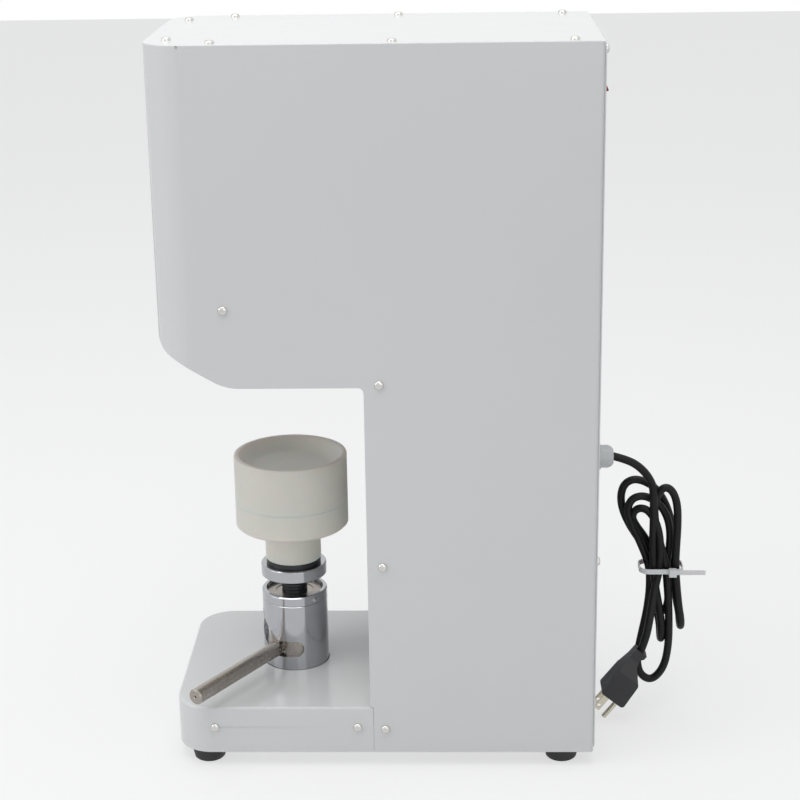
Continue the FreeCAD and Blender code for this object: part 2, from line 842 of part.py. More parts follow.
def build_tray_bearing():
    """Thrust ball bearing under the tray: two washers with a ball cage between them."""
    low = flange_high
    high = low + bearing_height
    inner = journal_radius + 0.06
    waist = 1.6
    third = bearing_height / 3
    profile = [(inner, low), (bearing_radius, low), (bearing_radius, low + third),
               (bearing_radius - waist, low + third),
               (bearing_radius - waist, high - third), (bearing_radius, high - third),
               (bearing_radius, high), (inner, high)]
    return turned(profile, can_axis)


def build_tray_base():
    pocket = flange_high + bearing_height + 0.3
    bore = journal_radius + 0.06
    top_of_bore = flange_high + journal_height + 1
    profile = [(bearing_radius + 0.3, stem_low), (stem_radius - 0.5, stem_low),
               (stem_radius, stem_low + 0.5),
               (stem_radius, disc_low), (tray_radius - tray_edge, disc_low),
               (tray_radius, disc_low + tray_edge),
               (tray_radius, disc_high - 0.3), (tray_radius - 0.3, disc_high), (0, disc_high),
               (0, top_of_bore), (bore, top_of_bore), (bore, pocket), (bearing_radius + 0.3, pocket)]
    return turned(profile, can_axis)


def build_tray_cup():
    low = disc_high
    rim_radius = tray_radius - dish_rim
    floor_z = tray_top - dish_depth
    profile = [(0, low), (tray_radius - 0.3, low), (tray_radius, low + 0.3),
               (tray_radius, tray_top - tray_edge),
               (tray_radius - tray_edge * 0.3, tray_top - tray_edge * 0.3),
               (tray_radius - tray_edge, tray_top),
               (rim_radius + 1, tray_top), (rim_radius, tray_top - 0.8),
               (rim_radius - 3.2, tray_top - 4.8), (rim_radius - 7.5, tray_top - 9.0),
               (dish_floor_radius + 1.5, floor_z + 0.6), (dish_floor_radius - 3, floor_z), (0, floor_z)]
    return turned(profile, can_axis)


# ---------------------------------------------------------------- seaming head
roller_low = chuck_low - 1.0
roller_high = roller_low + roller_width
arm_low = roller_high + 2.0
arm_high = arm_low + arm_thickness
housing_low = head_plate_bottom - housing_drop
housing_high = head_plate_top + housing_rise
pulley_low = housing_high + pulley_gap
pulley_high = pulley_low + pulley_width
roller_x = chuck_lip_radius + roller_rest_gap + roller_radius
pivot_y = axis_y + pivot_back
cam_pin_y = pivot_y + cam_pin_back
cam_y = cam_pin_y + cam_throw * math.cos(math.radians(cam_swing / 2))
cam_radius = cam_pin_x - cam_pin_radius - cam_gap


def build_spindle_housing():
    seat = ball_bearing_radius + 0.03
    mid = ball_bearing_radius - 3
    low_seat = housing_low + ball_bearing_width
    high_seat = housing_high - ball_bearing_width
    flange = head_plate_top + housing_flange_thickness
    profile = [(seat, housing_low), (housing_radius, housing_low), (housing_radius, head_plate_top),
               (housing_flange_radius, head_plate_top), (housing_flange_radius, flange),
               (housing_radius, flange),
               (housing_radius, housing_high), (seat, housing_high), (seat, high_seat), (mid, high_seat),
               (mid, low_seat), (seat, low_seat)]
    housing = turned(profile, can_axis)
    return cut(housing, [post(bolt_radius + 0.1, x, y, head_plate_top - 1, flange + 1)
                         for x, y in housing_bolt_places()])


def build_ball_bearing(z0):
    """Shielded ball bearing: both races with the shield set back between them."""
    inner = spindle_radius + 0.05
    z1 = z0 + ball_bearing_width
    race = 3.2
    sink = 0.8
    outer = ball_bearing_radius
    profile = [(inner, z0), (inner + race, z0), (inner + race, z0 + sink), (outer - race, z0 + sink),
               (outer - race, z0), (outer, z0), (outer, z1), (outer - race, z1), (outer - race, z1 - sink),
               (inner + race, z1 - sink), (inner + race, z1), (inner, z1)]
    return turned(profile, can_axis)


def build_spindle():
    shoulder = housing_low - 4.0
    top = pulley_high + 3.0
    nose = shoulder - 16.0
    profile = [(0, nose), (spindle_radius - 1, nose), (spindle_radius, nose + 1),
               (spindle_radius, shoulder),
               (spindle_radius + 4, shoulder), (spindle_radius + 4, housing_low - 0.3),
               (spindle_radius, housing_low - 0.3),
               (spindle_radius, top - 1), (spindle_radius - 1, top), (0, top)]
    spindle = turned(profile, can_axis)
    return spindle.cut(post(4.2, 0, axis_y, nose - 1, nose + 14))


def build_chuck():
    """Seaming chuck: a plug that enters the lid, the seaming lip and the hub on the spindle nose."""
    shoulder = housing_low - 4.0
    bore = spindle_radius + 0.04
    nose = shoulder - 16.0
    lip = chuck_low + 6.0
    profile = [(4.4, chuck_low + 8), (7.5, chuck_low + 8), (7.5, chuck_low + 1), (12, chuck_low),
               (chuck_plug_radius - 0.8, chuck_low), (chuck_plug_radius, chuck_low + 0.8),
               (chuck_plug_radius + 0.4, lip), (chuck_lip_radius, lip + 0.6),
               (chuck_lip_radius, lip + 4), (chuck_hub_radius, lip + 9),
               (chuck_hub_radius, shoulder - 0.02),
               (bore, shoulder - 0.02), (bore, nose - 0.3), (4.4, nose - 0.3)]
    return turned(profile, can_axis)


def build_chuck_screw():
    nose = housing_low - 20.0
    head = post(7.0, 0, axis_y, chuck_low + 1.6, chuck_low + 8)
    socket = post(3.4, 0, axis_y, chuck_low, chuck_low + 5)
    return head.cut(socket).fuse(post(4.1, 0, axis_y, chuck_low + 8, nose + 13))


def build_pulley(y, groove_radius, bore):
    rim = groove_radius + pulley_rim
    low_groove = (pulley_low + pulley_high - belt_width) / 2 - 0.5
    high_groove = low_groove + belt_width + 1.0
    profile = [(bore, pulley_low), (rim, pulley_low), (rim, low_groove - 0.8), (groove_radius, low_groove),
               (groove_radius, high_groove), (rim, high_groove + 0.8), (rim, pulley_high),
               (bore, pulley_high)]
    return turned(profile, V(0, y, 0))


def belt_outline(grow):
    """Solid between the two pulley centres, bounded by the belt line grown outwards."""
    z0 = (pulley_low + pulley_high - belt_width) / 2
    z1 = z0 + belt_width
    big = driven_groove_radius + grow
    small = drive_groove_radius + grow
    span = motor_y - axis_y
    lean = math.asin((big - small) / span)
    c = math.cos(lean)
    s = math.sin(lean)
    corners = [(big * c, axis_y + big * s, 0), (small * c, motor_y + small * s, 0),
               (-small * c, motor_y + small * s, 0), (-big * c, axis_y + big * s, 0)]
    web = plan_prism(corners, z0, z1)
    return join([web, post(big, 0, axis_y, z0, z1), post(small, 0, motor_y, z0, z1)])


def build_belt():
    return belt_outline(belt_thickness).cut(belt_outline(fit_gap))


def build_motor():
    """Induction motor hung under the head plate: finned body, two end bells and a terminal box."""
    high = head_plate_bottom
    low = high - motor_height
    centre = V(0, motor_y, 0)
    fin = 2.0
    pitch = 8.0
    profile = [(0, low), (motor_radius - 14, low), (motor_radius - 4, low + 8),
               (motor_radius - 4, low + 24)]
    z = low + 24
    while z + pitch < high - 24:
        profile += [(motor_radius - fin, z), (motor_radius - fin, z + pitch / 2),
                    (motor_radius - fin * 2, z + pitch / 2), (motor_radius - fin * 2, z + pitch)]
        z += pitch
    profile += [(motor_radius - 4, z), (motor_radius - 4, high - 10), (motor_radius + 8, high - 10),
                (motor_radius + 8, high), (motor_shaft_radius + 0.1, high),
                (motor_shaft_radius + 0.1, high - 14), (0, high - 14)]
    return turned(profile, centre)


def build_motor_shaft():
    low = head_plate_bottom - 13.5
    top = pulley_high + 2
    r = motor_shaft_radius
    return turned([(0, low), (r, low), (r, top - 0.8), (r - 0.8, top), (0, top)], V(0, motor_y, 0))


def arm_plate(sign):
    """Bell crank: roller boss, pivot boss and cam-pin boss joined by two webs."""
    roller = V(roller_x, axis_y, 0)
    pivot = V(pivot_x, pivot_y, 0)
    tail = V(cam_pin_x, cam_pin_y, 0)
    solids = [post(13, roller.x, roller.y, arm_low, arm_high),
              post(15, pivot.x, pivot.y, arm_low, arm_high),
              post(11, tail.x, tail.y, arm_low, arm_high)]
    for a, b, width in ((roller, pivot, 10), (pivot, tail, 9)):
        along = (b - a).normalize()
        across = V(-along.y, along.x, 0) * width
        corners = [(a + across), (a - across), (b - across), (b + across)]
        solids.append(plan_prism([(p.x, p.y, 0) for p in corners], arm_low, arm_high))
    arm = join(solids)
    arm = cut(arm, [post(roller_pin_radius + 0.05, roller.x, roller.y, arm_low - 1, arm_high + 1),
                    post(pivot_radius + 0.05, pivot.x, pivot.y, arm_low - 1, arm_high + 1),
                    post(4.05, tail.x, tail.y, arm_low - 1, arm_high + 1)])
    if sign < 0:
        arm = arm.mirror(V(0, 0, 0), V(1, 0, 0))
    return arm


def build_pivot(sign):
    """Shouldered pin that hangs from the head plate and carries an arm, with its washer and screw."""
    x = sign * pivot_x
    low = arm_low - 0.2
    high = arm_high + 0.2
    profile = [(0, low), (pivot_radius, low), (pivot_radius, high), (pivot_radius + 4, high),
               (pivot_radius + 4, head_plate_bottom), (pivot_radius, head_plate_bottom),
               (pivot_radius, head_plate_top - 1), (0, head_plate_top - 1)]
    pin = turned(profile, V(x, pivot_y, 0))
    return pin.cut(post(2.6, x, pivot_y, low - 1, low + 11))


def build_pivot_caps():
    solids = []
    low = arm_low - 0.2
    for sign in (-1, 1):
        x = sign * pivot_x
        washer = post(pivot_radius + 4, x, pivot_y, low - 2, low)
        head = post(5.0, x, pivot_y, low - 6, low - 2).cut(post(2.0, x, pivot_y, low - 7, low - 4))
        solids.append(join([washer, head, post(2.5, x, pivot_y, low - 2, low + 10)]))
    return Part.makeCompound(solids)


def build_roller(sign, groove_depth, groove_width):
    """Seaming roller with its profile groove level with the chuck lip."""
    mid = chuck_low + 8.0
    bore = roller_pin_radius + 0.05
    half = groove_width / 2
    profile = [(bore, roller_low), (roller_radius - 2.5, roller_low), (roller_radius - 1, roller_low + 2),
               (roller_radius, mid - half), (roller_radius - groove_depth, mid - half * 0.5),
               (roller_radius - groove_depth, mid + half * 0.4), (roller_radius, mid + half),
               (roller_radius, roller_high - 3), (roller_radius - 2, roller_high - 1), (9, roller_high),
               (bore, roller_high)]
    return turned(profile, V(sign * roller_x, axis_y, 0))


def build_arm_pins(sign):
    """The roller's shouldered pin with its nut, and the follower pin that runs against the cam."""
    low = roller_low - 0.2
    r = roller_pin_radius
    roller_pin = turned([(0, low - 4), (7.7, low - 4), (8.5, low - 3.2), (8.5, low), (r, low),
                         (r, arm_high), (8, arm_high), (8, arm_high + 4), (0, arm_high + 4)],
                        V(sign * roller_x, axis_y, 0))
    follower = turned([(0, roller_low + 3), (cam_pin_radius, roller_low + 3), (cam_pin_radius, arm_low),
                       (4.0, arm_low), (4.0, arm_high), (0, arm_high)],
                      V(sign * cam_pin_x, cam_pin_y, 0))
    return Part.makeCompound([roller_pin, follower])


def build_cam():
    """Eccentric disc on its vertical shaft; at rest its throw points to the front."""
    disc = post(cam_radius, 0, cam_y - cam_throw, roller_low + 3, arm_low - 0.5)
    shaft = post(cam_shaft_radius, 0, cam_y, roller_low + 3, head_plate_top + 4)
    hub = post(cam_shaft_radius + 4, 0, cam_y, arm_low - 0.5, arm_high)
    return join([disc, shaft, hub])


def build_cam_gearmotor():
    low = head_plate_top
    r = gearmotor_radius
    high = low + gearmotor_height
    hole = cam_shaft_radius + 0.2
    return turned([(hole, low), (r, low), (r, low + 22), (r - 1.5, low + 22), (r - 1.5, high - 2),
                   (r - 3.5, high),
                   (0, high), (0, low + 4.5), (hole, low + 4.5)], V(0, cam_y, 0))


# ---------------------------------------------------------------- electrics
def build_switch_frame():
    """Snap-in frame of the rocker switch, with the well that the rocker sits in."""
    face = back + back_sheet
    half_w = switch_width / 2
    half_l = switch_length / 2
    bezel = block(switch_x - half_w, switch_x + half_w, face, face + switch_bezel,
                  switch_z - half_l, switch_z + half_l)
    outer_edges = [e for e in bezel.Edges if abs(e.BoundBox.YLength - switch_bezel) < 1e-6]
    bezel = bezel.makeFillet(2.0, outer_edges)
    body = block(switch_x - half_w + 1.6, switch_x + half_w - 1.6, face - 24, face,
                 switch_z - half_l + 1.6, switch_z + half_l - 1.6)
    well = block(switch_x - half_w + 3, switch_x + half_w - 3, face - 9, face + 5,
                 switch_z - half_l + 3, switch_z + half_l - 3)
    terminals = []
    for drop in (-7.0, 7.0):
        terminals.append(block(switch_x - 3.2, switch_x + 3.2, face - 33, face - 23,
                               switch_z + drop - 0.4, switch_z + drop + 0.4))
    pivot_hole = rod(trunnion_radius + 0.05, V(switch_x - half_w + 1.6, rocker_y, switch_z),
                     V(switch_x + half_w - 1.6, rocker_y, switch_z))
    return cut(join([bezel, body] + terminals), [well, pivot_hole])


def build_rocker():
    """Rocker on two side trunnions; its lower half stands out at rest."""
    half_w = switch_width / 2 - 3.6
    half_l = switch_length / 2 - 4.6
    proud = 5.2
    corners = [(-5.5, -half_l * 0.7, 2), (proud + 1.2, -half_l, 1), (proud - 1.4, 0, 18),
               (proud + 1.2, half_l, 1), (-5.5, half_l * 0.7, 2)]
    body = side_prism(corners, -half_w, half_w)
    reach = switch_width / 2 - 1.8
    body = join([body, rod(trunnion_radius, V(-reach, 0, 0), V(reach, 0, 0))])
    body.rotate(V(0, 0, 0), V(1, 0, 0), rocker_tilt)
    body.translate(V(switch_x, rocker_y, switch_z))
    return body


def along_y(profile, x, y, z, forward):
    """Solid of revolution about a level axis; profile is (radius, distance towards forward)."""
    solid = turned(profile, V(0, 0, 0))
    solid.Placement = FreeCAD.Placement(V(x, y, z), FreeCAD.Rotation(UP, V(0, forward, 0)))
    return solid


def build_button_housing():
    r = button_radius + 0.2
    profile = [(r, -16), (button_radius + 1, -16), (button_radius + 1, 0), (button_bezel_radius, 0),
               (button_bezel_radius, button_bezel - 1.2), (button_bezel_radius - 1.2, button_bezel),
               (r, button_bezel)]
    housing = along_y(profile, 0, front, button_z, -1)
    nut = along_y([(button_radius + 1.1, -5.5), (button_bezel_radius, -5.5), (button_bezel_radius, -sheet),
                   (button_radius + 1.1, -sheet)], 0, front, button_z, -1)
    contacts = along_y([(0, -30), (button_radius + 1, -30), (button_radius + 1, -16), (0, -16)],
                       0, front, button_z, -1)
    return join([housing, nut, contacts])


def build_start_button():
    profile = [(0, -10), (button_radius, -10), (button_radius, button_bezel + button_proud - 1.2),
               (button_radius - 1.2, button_bezel + button_proud), (0, button_bezel + button_proud + 0.3)]
    return along_y(profile, 0, front, button_z, -1)


def hexagon_y(x, y0, y1, z, across):
    radius = across / math.sqrt(3)
    points = []
    for i in range(7):
        angle = math.radians(60 * i)
        points.append(V(x + radius * math.cos(angle), y0, z + radius * math.sin(angle)))
    return Part.Face(Part.makePolygon(points)).extrude(V(0, y1 - y0, 0))


def build_gland():
    """Cable gland: hexagon body outside the panel and domed cap nut round the cord."""
    face = back + back_sheet
    bore = cord_radius + 0.1
    body = hexagon_y(0, face, face + gland_hex_length, gland_z, gland_hex * 0.92)
    rounding = along_y([(0, 0), (gland_hex / 2 - 0.4, 0), (gland_hex / 2 + 1, 1.2),
                        (gland_hex / 2 + 1, gland_hex_length - 1.2),
                        (gland_hex / 2 - 0.4, gland_hex_length),
                        (0, gland_hex_length)], 0, face, gland_z, 1)
    body = body.common(rounding)
    end = gland_hex_length + gland_dome_length
    dome = along_y([(0, gland_hex_length), (gland_dome_radius, gland_hex_length),
                    (gland_dome_radius, end - 5),
                    (gland_dome_radius - 1.2, end - 2.2), (gland_dome_radius - 3.4, end), (0, end)], 0,
                    face, gland_z, 1)
    thread = rod(gland_thread_radius, V(0, back - 12, gland_z), V(0, face, gland_z))
    return join([body, dome, thread]).cut(rod(bore, V(0, back - 20, gland_z), V(0, back + 40, gland_z)))


def build_gland_nut():
    nut = hexagon_y(0, back - 5.5, back - 0.02, gland_z, gland_hex)
    return nut.cut(rod(gland_thread_radius + 0.05, V(0, back - 8, gland_z), V(0, back + 2, gland_z)))


def build_control_box():
    """Plastic box with the controls, standing on the chassis at the bottom of the column."""
    x = box_half_width
    y = column_front + box_front_gap
    high = chassis_top + box_height
    box = block(-x, x, y, y + box_length, chassis_top, high)
    edges = [e for e in box.Edges if abs(e.BoundBox.ZLength - box_height) < 0.01]
    box = box.makeFillet(6, edges)
    over = box_lid_overhang
    lid = block(-x - over, x + over, y - over, y + box_length + over, high, high + box_lid)
    edges = [e for e in lid.Edges if abs(e.BoundBox.ZLength - box_lid) < 0.01]
    return join([box, lid.makeFillet(7, edges)])


# ---------------------------------------------------------------- power cord
gland_exit = V(0, back + back_sheet + gland_hex_length + gland_dome_length, gland_z)

# route of the free stretch from the gland to the top of the hank, and of the tail to the plug
lead_route = [gland_exit, V(0, 225.4, 257.2), V(-0.5, 237.2, 249.6), V(-1.5, 246.0, 238.7),
              V(-3.0, 251.2, 225.7)]
plug_front = V(14.0, 213.0, 24.0)
plug_way = V(0, -0.622, -0.783)
plug_across = V(0, 0.783, -0.622)
plug_length = 54.0
plug_width = 24.0
neck_side = -7.3
neck_end = plug_front - plug_way * plug_length + plug_across * neck_side
tail_route = [V(-2.0, 254.0, 129.0), V(5.0, 250.8, 113.0), V(11.0, 247.8, 96.5), V(14.0, 244.4, 81.5),
              neck_end + plug_way * 2]


def cord_tube(points):
    """Round tube along straight runs joined by tangent arcs, each as large as its runs allow."""
    edges = []
    here = points[0]
    lengths = [(points[i + 1] - points[i]).Length for i in range(len(points) - 1)]
    for i in range(1, len(points) - 1):
        into = (points[i] - points[i - 1]).normalize()
        out = (points[i + 1] - points[i]).normalize()
        turn = into.getAngle(out)
        reach = 0.45 * min(lengths[i - 1], lengths[i])
        radius = reach / math.tan(turn / 2)
        print("cord arc radius %.1f mm at turn %.0f degrees" % (radius, math.degrees(turn)))
        start = points[i] - into * reach
        end = points[i] + out * reach
        middle = (out - into).normalize()
        mid = points[i] + middle * (radius / math.cos(turn / 2) - radius)
        edges.append(Part.LineSegment(here, start).toShape())
        edges.append(Part.Arc(start, mid, end).toShape())
        here = end
    edges.append(Part.LineSegment(here, points[-1]).toShape())
    wire = Part.Wire(edges)
    way = (points[1] - points[0]).normalize()
    circle = Part.Wire([Part.makeCircle(cord_radius, points[0], way)])
    tube = wire.makePipeShell([circle], True, False)
    section = math.pi * cord_radius ** 2
    print("cord volume %.0f, section times length %.0f" % (tube.Volume, section * wire.Length))
    return tube


# outline of the tied hank, seen from the side: upper loops, tied waist, lower loops
hank_outline = [(231, 237), (217, 225), (216, 205), (226, 175), (242, 146), (244, 117), (239, 77),
                (237, 47), (253, 24), (269, 33), (285, 75), (281, 109), (278, 145), (282, 187),
                (275, 223), (259, 231)]
hank_x = (-24.0, 1.0)


def build_hank():
    points = [V(hank_x[0], y, z) for y, z in hank_outline]
    curve = Part.BSplineCurve()
    curve.interpolate(points, PeriodicFlag=True)
    face = Part.Face(Part.Wire([curve.toShape()]))
    return face.extrude(V(hank_x[1] - hank_x[0], 0, 0))


def build_plug():
    """Moulded three-pin plug body: straight on one side, stepped to the neck on the other."""
    outline = [(0, -13.5, 3), (0, 13.5, 3), (-26.6, 10.7, 6), (-40.0, -1.5, 5), (-47.0, -3.6, 1.5),
               (-50.0, -1.1, 0.8),
               (-plug_length, -1.1, 0), (-plug_length, -13.6, 0)]

    def place(p):
        return plug_front + V(-plug_width / 2, 0, 0) + plug_way * p.x + plug_across * p.y

    body = Part.Face(rounded_wire(outline, place)).extrude(V(plug_width, 0, 0))
    neck_half = 6.2
    half = plug_width / 2
    trims = []
    for side in (-1, 1):
        trim_outline = [(side * neck_half, -60, 0), (side * neck_half, -44, 4), (side * half, -26, 8),
                        (side * (half + 3), -26, 0), (side * (half + 3), -60, 0)]

        def place_trim(p):
            return plug_front + V(p.x, 0, 0) + plug_way * p.y - plug_across * 30

        trims.append(Part.Face(rounded_wire(trim_outline, place_trim)).extrude(plug_across * 60))
    return cut(body, trims)


def build_plug_pins():
    """Two flat blades and a round earth pin."""
    pins = []
    for side in (-6.35, 6.35):
        centre = plug_front + V(side, 0, 0) + plug_way * 8.5 + plug_across * -4.6
        blade = Part.makeBox(1.5, 6.4, 17.0, V(-0.75, -3.2, -8.5))
        blade = blade.cut(Part.makeCylinder(1.6, 4, V(-2, 0, 4.0), V(1, 0, 0)))
        blade.Placement = FreeCAD.Placement(centre, FreeCAD.Rotation(V(1, 0, 0), -plug_across, plug_way,
                                                                     "ZXY"))
        pins.append(blade)
    root = plug_front + plug_across * 8.7
    pins.append(rod(2.4, root, root + plug_way * 21.4))
    return Part.makeCompound(pins)


def build_tie():
    """Cable tie: band round the waist of the hank, its head and the loose tail."""
    z = 146.0
    x0 = hank_x[0] - 0.3
    x1 = hank_x[1] + 0.3
    thick = 1.2
    low_y = 240.0
    high_y = 279.2
    rounds = [(x0 - thick, low_y - thick, 9), (x1 + thick, low_y - thick, 9),
              (x1 + thick, high_y + thick, 9), (x0 - thick, high_y + thick, 9)]
    outer = plan_prism(rounds, z - 2.4, z + 2.4)
    inner = plan_prism([(x0, low_y, 8), (x1, low_y, 8), (x1, high_y, 8), (x0, high_y, 8)], z - 3, z + 3)
    head = block(x1 + 0.2, x1 + 6.2, 266, 273, z - 3.6, z + 3.6)
    tail = block(x1 + 2, x1 + 3.4, 272, 300, z - 2.2, z + 2.2)
    return join([outer.cut(inner), head, tail])


# ---------------------------------------------------------------- the assembly, by node name
parts["case_shell"] = build_case_shell()
parts["top_cover"] = build_top_cover()
parts["back_panel"] = build_back_panel()
parts["column_front"] = build_column_front()
parts["base_cover"] = build_base_cover()
parts["base_chassis"] = build_chassis()
parts["frame_upright_left"] = build_upright(-1)
parts["frame_upright_right"] = build_upright(1)
parts["head_plate"] = build_head_plate()
parts["frame_bolts"] = Part.makeCompound([build_frame_bolts(), build_foot_screws()])
parts["rubber_feet"] = Part.makeCompound([build_foot(x, y) for x, y in foot_places()])
parts["side_screws"] = build_side_screws()
parts["top_screws"] = screw_group([V(x, y, case_top) for x, y in top_seats], UP)
parts["back_screws"] = screw_group([V(x, back + back_sheet, z) for x, z in back_seats], V(0, 1, 0))

parts["pedestal_sleeve"] = build_sleeve()
parts["sleeve_collar"] = build_collar()
parts["collar_set_screw"] = build_set_screw()
parts["lift_piston"] = build_piston()
parts["lift_lever"] = build_lever()
parts["thrust_washer"] = build_thrust_washer()
parts["lift_nut"] = build_lift_nut()
parts["threaded_rod"] = build_threaded_rod()
parts["lock_ring"] = build_lock_ring()
parts["tray_bearing"] = build_tray_bearing()
parts["tray_base"] = build_tray_base()
parts["tray_cup"] = build_tray_cup()

parts["spindle_housing"] = build_spindle_housing()
bearing_heights = (housing_low, housing_high - ball_bearing_width)
parts["spindle_bearings"] = Part.makeCompound([build_ball_bearing(z) for z in bearing_heights])
parts["spindle"] = build_spindle()
parts["seaming_chuck"] = build_chuck()
parts["chuck_screw"] = build_chuck_screw()
parts["driven_pulley"] = build_pulley(axis_y, driven_groove_radius, spindle_radius + 0.05)
parts["drive_pulley"] = build_pulley(motor_y, drive_groove_radius, motor_shaft_radius + 0.05)
parts["drive_belt"] = build_belt()
parts["motor"] = build_motor()
parts["motor_shaft"] = build_motor_shaft()
parts["arm_pivots"] = Part.makeCompound([build_pivot(-1), build_pivot(1), build_pivot_caps()])
for arm_name, sign, depth, width in (("first", 1, 3.0, 5.5), ("second", -1, 2.2, 7.0)):
    parts["arm_" + arm_name] = arm_plate(sign)
    parts["roller_" + arm_name] = build_roller(sign, depth, width)
    parts["arm_pins_" + arm_name] = build_arm_pins(sign)
parts["arm_cam"] = build_cam()
parts["cam_gearmotor"] = build_cam_gearmotor()

parts["switch_frame"] = build_switch_frame()
parts["switch_rocker"] = build_rocker()
parts["button_housing"] = build_button_housing()
parts["start_button"] = build_start_button()
parts["control_box"] = build_control_box()
parts["cord_gland"] = build_gland()
parts["gland_nut"] = build_gland_nut()
parts["power_cord_lead"] = cord_tube(lead_route)
parts["power_cord_hank"] = build_hank()
parts["power_cord_tail"] = cord_tube(tail_route)
parts["cord_tie"] = build_tie()
parts["plug_body"] = build_plug()
parts["plug_pins"] = build_plug_pins()

# ---------------------------------------------------------------- origin and export
lever_turn = math.radians(lever_angle)
side_reach = half_width + screw_head_height
lever_x = lever_reach * math.cos(lever_turn) - (lever_radius - lever_chamfer) * math.sin(lever_turn)
front_reach = front - button_bezel - button_proud
back_reach = gland_exit.y
origin = V((lever_x - side_reach) / 2, (front_reach + back_reach) / 2, 0)

for node, shape in parts.items():
    shape.translate(-origin)
    shape.exportStep("parts/%s.step" % node)
print("nodes %d, origin %s" % (len(parts), origin))
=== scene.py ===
"""Looks of the bench-top can seamer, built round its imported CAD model. All lengths are metres."""
import json
import math

import bmesh
import bpy
from mathutils import Matrix, Vector


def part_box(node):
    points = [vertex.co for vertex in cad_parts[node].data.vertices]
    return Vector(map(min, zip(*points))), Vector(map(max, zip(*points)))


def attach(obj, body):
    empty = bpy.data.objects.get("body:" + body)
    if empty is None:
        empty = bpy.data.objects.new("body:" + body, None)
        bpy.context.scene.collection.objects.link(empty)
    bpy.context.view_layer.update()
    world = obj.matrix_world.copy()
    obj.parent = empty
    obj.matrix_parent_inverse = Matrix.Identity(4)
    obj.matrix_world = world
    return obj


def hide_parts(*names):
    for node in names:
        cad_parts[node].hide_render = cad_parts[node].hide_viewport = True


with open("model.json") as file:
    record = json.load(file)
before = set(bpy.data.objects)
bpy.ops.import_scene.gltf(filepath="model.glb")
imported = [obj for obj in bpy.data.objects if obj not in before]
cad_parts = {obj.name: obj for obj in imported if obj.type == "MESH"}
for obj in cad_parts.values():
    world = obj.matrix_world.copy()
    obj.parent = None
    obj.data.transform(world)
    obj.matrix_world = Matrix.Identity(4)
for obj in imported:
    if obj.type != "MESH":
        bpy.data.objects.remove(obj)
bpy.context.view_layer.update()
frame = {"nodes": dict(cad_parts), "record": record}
bpy.context.scene.view_settings.view_transform = "Standard"

MM = 0.001
UP = Vector((0, 0, 1))
case_low, case_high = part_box("case_shell")
case_middle = (case_low + case_high) / 2


def machine(x, y, z):
    """A point given in millimetres from the casing's middle and the floor, in the row frame."""
    return Vector((case_middle.x + x * MM, case_middle.y + y * MM, z * MM))


# ---------------------------------------------------------------- edges
def round_edges(piece, width, segments=2, angle=40):
    """Welds the mesh and rounds its sharp edges."""
    weld = piece.modifiers.new("weld", "WELD")
    weld.merge_threshold = 0.01 * MM
    bevel = piece.modifiers.new("bevel", "BEVEL")
    bevel.width = width
    bevel.segments = segments
    bevel.limit_method = "ANGLE"
    bevel.angle_limit = math.radians(angle)
    bevel.harden_normals = True
    bevel.use_clamp_overlap = True


# ---------------------------------------------------------------- camera
def build_camera():
    """Camera at the side of the machine, looking a little down on it from a standing height."""
    yaw, pitch, roll = -0.032208, 0.310732, -0.015650
    level = Vector((-math.cos(yaw), math.sin(yaw), 0))
    across = Vector((math.sin(yaw), math.cos(yaw), 0))
    look = level * math.cos(pitch) - UP * math.sin(pitch)
    rise = UP * math.cos(pitch) + level * math.sin(pitch)
    right = across * math.cos(roll) + rise * math.sin(roll)
    top = rise * math.cos(roll) - across * math.sin(roll)
    data = bpy.data.cameras.new("camera")
    data.sensor_width = 36.0
    data.lens = 85.085
    data.clip_start = 0.05
    data.clip_end = 50.0
    camera = bpy.data.objects.new("camera", data)
    bpy.context.scene.collection.objects.link(camera)
    place = Matrix((right, top, -look)).transposed().to_4x4()
    place.translation = machine(1649.03, 69.13, 846.23)
    camera.matrix_world = place
    bpy.context.scene.camera = camera


build_camera()


# ---------------------------------------------------------------- materials
def tree_of(name):
    made = bpy.data.materials.new(name)
    made.use_nodes = True
    return made, made.node_tree, made.node_tree.nodes["Principled BSDF"]


def stretch(tree, scale):
    """Object coordinates, stretched by scale along each axis."""
    coordinates = tree.nodes.new("ShaderNodeTexCoord")
    mapping = tree.nodes.new("ShaderNodeMapping")
    mapping.inputs["Scale"].default_value = scale
    tree.links.new(coordinates.outputs["Object"], mapping.inputs["Vector"])
    return mapping.outputs["Vector"]


def noise(tree, scale, detail=4.0, rough=0.6, axes=(1, 1, 1)):
    node = tree.nodes.new("ShaderNodeTexNoise")
    node.inputs["Scale"].default_value = scale
    node.inputs["Detail"].default_value = detail
    node.inputs["Roughness"].default_value = rough
    tree.links.new(stretch(tree, axes), node.inputs["Vector"])
    return node.outputs["Fac"]


def spread(tree, value, low, high, start=0.3, end=0.7):
    """Maps a noise value onto the range low to high."""
    node = tree.nodes.new("ShaderNodeMapRange")
    node.inputs["From Min"].default_value = start
    node.inputs["From Max"].default_value = end
    node.inputs["To Min"].default_value = low
    node.inputs["To Max"].default_value = high
    tree.links.new(value, node.inputs["Value"])
    return node.outputs["Result"]


def two_tone(tree, value, first, second):
    ramp = tree.nodes.new("ShaderNodeValToRGB")
    ramp.color_ramp.elements[0].position = 0.3
    ramp.color_ramp.elements[1].position = 0.7
    ramp.color_ramp.elements[0].color = (*first, 1)
    ramp.color_ramp.elements[1].color = (*second, 1)
    tree.links.new(value, ramp.inputs["Fac"])
    return ramp.outputs["Color"]


def bump(tree, height, strength, distance, under=None):
    node = tree.nodes.new("ShaderNodeBump")
    node.inputs["Strength"].default_value = strength
    node.inputs["Distance"].default_value = distance
    tree.links.new(height, node.inputs["Height"])
    if under is not None:
        tree.links.new(under, node.inputs["Normal"])
    return node.outputs["Normal"]


